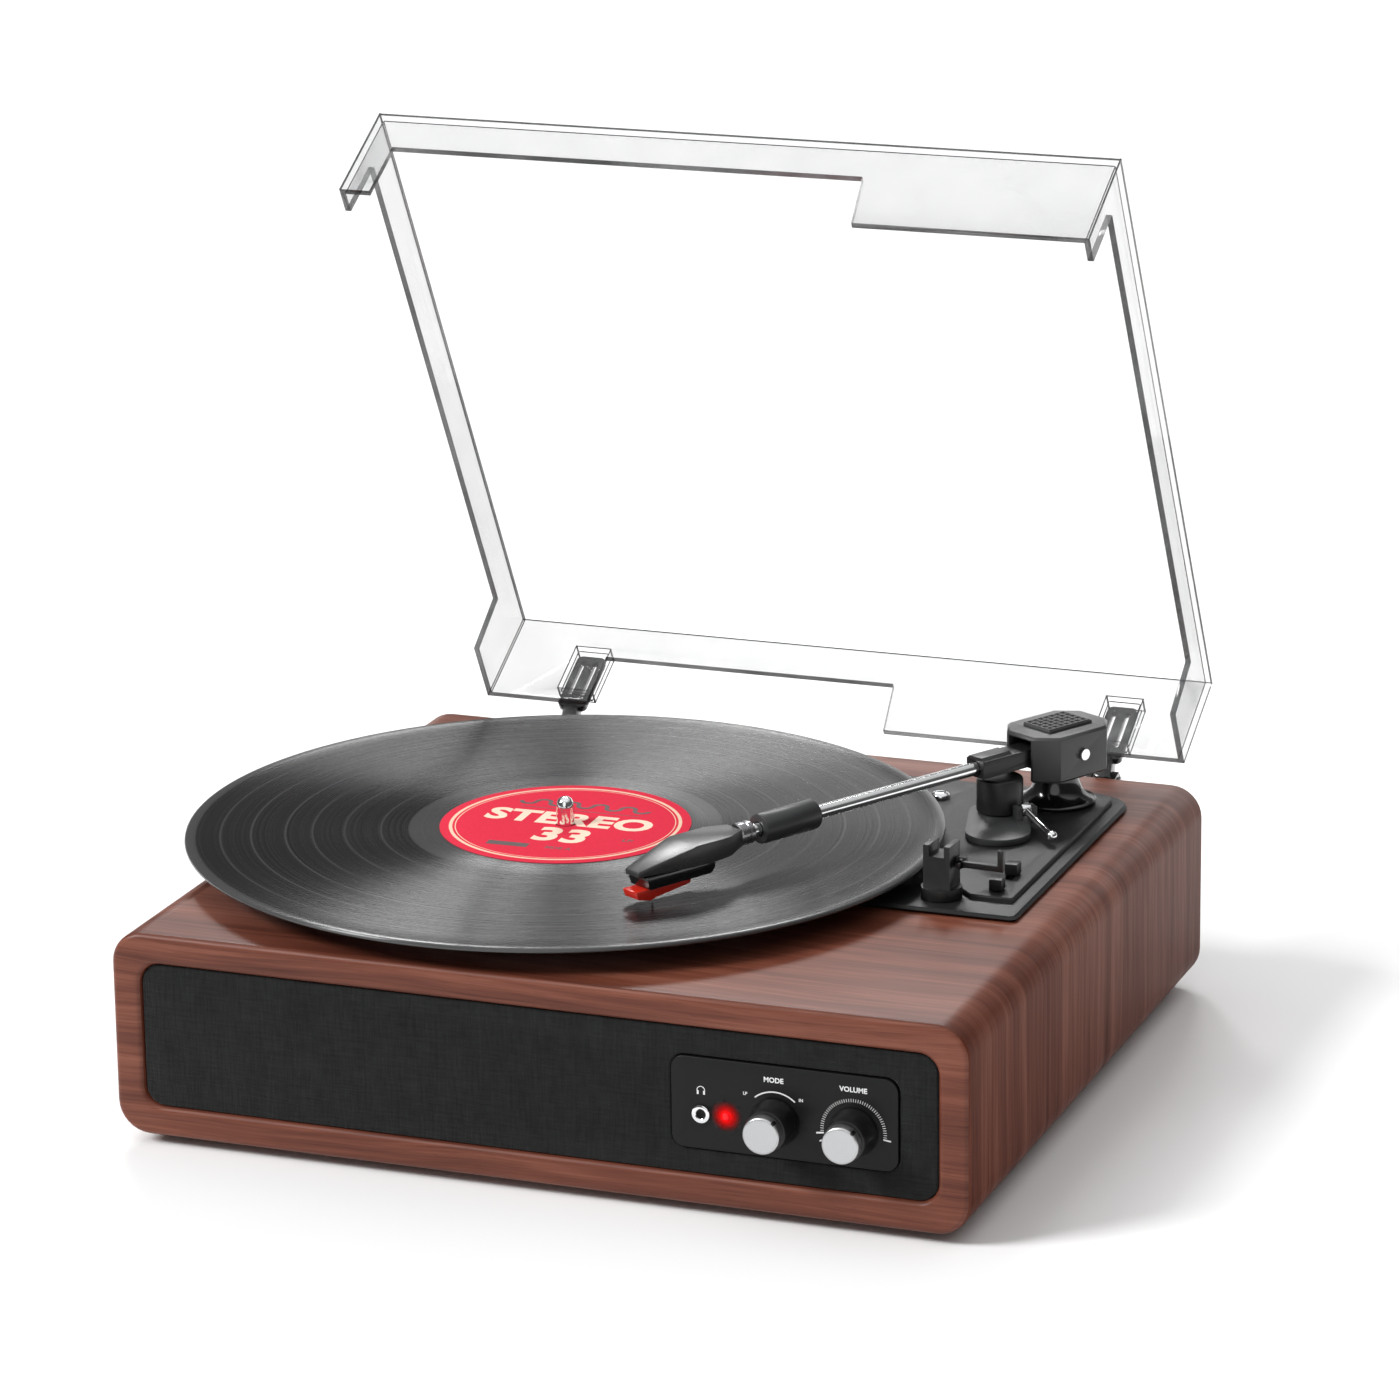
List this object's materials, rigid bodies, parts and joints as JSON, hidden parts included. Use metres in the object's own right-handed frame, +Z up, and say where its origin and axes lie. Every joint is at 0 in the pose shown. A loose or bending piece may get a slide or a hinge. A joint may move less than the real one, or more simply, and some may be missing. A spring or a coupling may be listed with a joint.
{
  "type": "turntable record player",
  "caption": "Belt-drive record player with built-in speakers, a wooden sleeve plinth, a tonearm with cue lift, and a hinged clear dust cover, shown open.",
  "frame": {"origin": "bottom centre of the box round the whole player with its cover open", "axes": "+X to the right seen from the front, +Y to the back, +Z up"},
  "size_m": [0.3668, 0.3698, 0.3642],
  "materials": {
    "walnut": "open-grain veneer with a satin clear coat",
    "baffle_board": "dark painted fibreboard",
    "grille_fabric": "tightly woven charcoal speaker cloth",
    "panel_gloss": "semi-gloss black panel with printed white markings",
    "chrome": "polished",
    "lamp_red": "lit red lens",
    "zinc_steel": "zinc-plated",
    "knob_black": "satin black",
    "knob_metal": "spun face",
    "circuit_board": "solder-masked board",
    "speaker_cone": "black cone and basket",
    "foot_rubber": "matte",
    "black_plastic": "fine satin texture",
    "brass": "turned",
    "belt_rubber": "matte",
    "platter_metal": "cast, dark",
    "mat_felt": "pressed felt",
    "record_vinyl": "grooved vinyl",
    "label_paper": "printed coral label",
    "gloss_black": "gloss black",
    "grey_plastic": "satin grey",
    "collar_metal": "satin",
    "stylus_red": "moulded red",
    "clear_acrylic": "clear, polished edges"
  },
  "bodies": {
    "root": {"plinth_case": "walnut", "foot_front_left": "foot_rubber", "foot_front_right": "foot_rubber", "foot_rear_left": "foot_rubber", "foot_rear_right": "foot_rubber", "front_baffle": "baffle_board", "grille_cloth": "grille_fabric", "speaker_left": "speaker_cone", "speaker_right": "speaker_cone", "control_panel": "panel_gloss", "headphone_jack": "chrome", "power_led": "lamp_red", "mode_switch": "zinc_steel", "volume_pot": "zinc_steel", "amplifier_board": "circuit_board", "rear_panel": "black_plastic", "audio_sockets": "black_plastic", "power_inlet": "black_plastic", "deck_plate": "black_plastic", "transit_screw": "chrome", "bearing_housing": "brass", "drive_motor": "zinc_steel", "drive_belt": "belt_rubber", "tonearm_base": "gloss_black", "arm_rest": "black_plastic", "cue_base": "grey_plastic", "hinge_bracket_left": "gloss_black", "hinge_bracket_right": "gloss_black", "hinge_pin_left": "zinc_steel", "hinge_pin_right": "zinc_steel"},
    "platter": {"platter": "platter_metal", "spindle": "chrome", "slipmat": "mat_felt", "record": "record_vinyl", "record_label": "label_paper"},
    "drive_pulley": {"motor_pulley": "brass"},
    "arm_swing": {"arm_yoke": "black_plastic", "arm_hood": "gloss_black", "lift_axle": "chrome"},
    "tonearm": {"arm_holder": "black_plastic", "arm_counterweight": "zinc_steel", "arm_tube": "chrome", "arm_sleeve": "grey_plastic", "arm_collar": "collar_metal", "headshell": "black_plastic", "cartridge": "black_plastic", "stylus": "stylus_red"},
    "rest_clip": {"arm_clip": "black_plastic"},
    "cue_lever": {"cue_lever": "chrome"},
    "cue_pad": {"cue_lift_pad": "black_plastic"},
    "mode_control": {"mode_knob": "knob_black", "mode_knob_cap": "knob_metal"},
    "volume_control": {"volume_knob": "knob_black", "volume_knob_cap": "knob_metal"},
    "speed_switch": {"speed_switch_knob": "black_plastic"},
    "auto_stop": {"auto_stop_knob": "black_plastic"},
    "power_switch": {"power_rocker": "black_plastic"},
    "lid": {"dust_cover": "clear_acrylic", "hinge_blade_left": "gloss_black", "hinge_blade_right": "gloss_black"}
  },
  "joints": [
    {"name": "platter_spin", "type": "hinge", "parent": "root", "child": "platter", "pos_m": [-0.0326, -0.02479, 0.086], "axis": [0, 0, -1], "continuous": true},
    {"name": "pulley_spin", "type": "hinge", "parent": "root", "child": "drive_pulley", "pos_m": [-0.10691, 0.03756, 0.086], "axis": [0, 0, -1], "continuous": true},
    {"name": "arm_swing", "type": "hinge", "parent": "root", "child": "arm_swing", "pos_m": [0.1364, 0.08621, 0.114], "axis": [0, 0, -1], "range_deg": [-25.1, 12.4]},
    {"name": "arm_lift", "type": "hinge", "parent": "arm_swing", "child": "tonearm", "pos_m": [0.1364, 0.08621, 0.114], "axis": [-0.878, 0.4787, 0], "range_deg": [0, 8]},
    {"name": "rest_clip", "type": "hinge", "parent": "root", "child": "rest_clip", "pos_m": [0.13672, -0.03803, 0.103], "axis": [-0.061, -0.9981, 0], "range_deg": [0, 95]},
    {"name": "cue_lever", "type": "hinge", "parent": "root", "child": "cue_lever", "pos_m": [0.13392, 0.05215, 0.097], "axis": [-0.7526, -0.6585, 0], "range_deg": [0, 50]},
    {"name": "cue_pad", "type": "slide", "parent": "root", "child": "cue_pad", "axis": [0, 0, 1], "range_m": [0, 0.0021]},
    {"name": "mode_knob", "type": "hinge", "parent": "root", "child": "mode_control", "pos_m": [0.1078, -0.16979, 0.0405], "axis": [0, 1, 0], "range_deg": [-90, 0]},
    {"name": "volume_knob", "type": "hinge", "parent": "root", "child": "volume_control", "pos_m": [0.1386, -0.16979, 0.0405], "axis": [0, 1, 0], "range_deg": [-190, 110]},
    {"name": "speed_switch", "type": "slide", "parent": "root", "child": "speed_switch", "axis": [0, 1, 0], "range_m": [-0.004, 0.004]},
    {"name": "auto_stop", "type": "slide", "parent": "root", "child": "auto_stop", "axis": [0, 1, 0], "range_m": [0, 0.004]},
    {"name": "power_rocker", "type": "hinge", "parent": "root", "child": "power_switch", "pos_m": [0.1104, 0.12471, 0.045], "axis": [-1, 0, 0], "range_deg": [0, 12]},
    {"name": "lid_hinge", "type": "hinge", "parent": "root", "child": "lid", "pos_m": [0, 0.14421, 0.083], "axis": [-1, 0, 0], "range_deg": [-61, 0]}
  ],
  "couplings": [
    {"joint": "pulley_spin", "follows": "platter_spin", "ratio": 17},
    {"joint": "cue_pad", "follows": "cue_lever", "m_per_rad": 0.0022918}
  ]
}
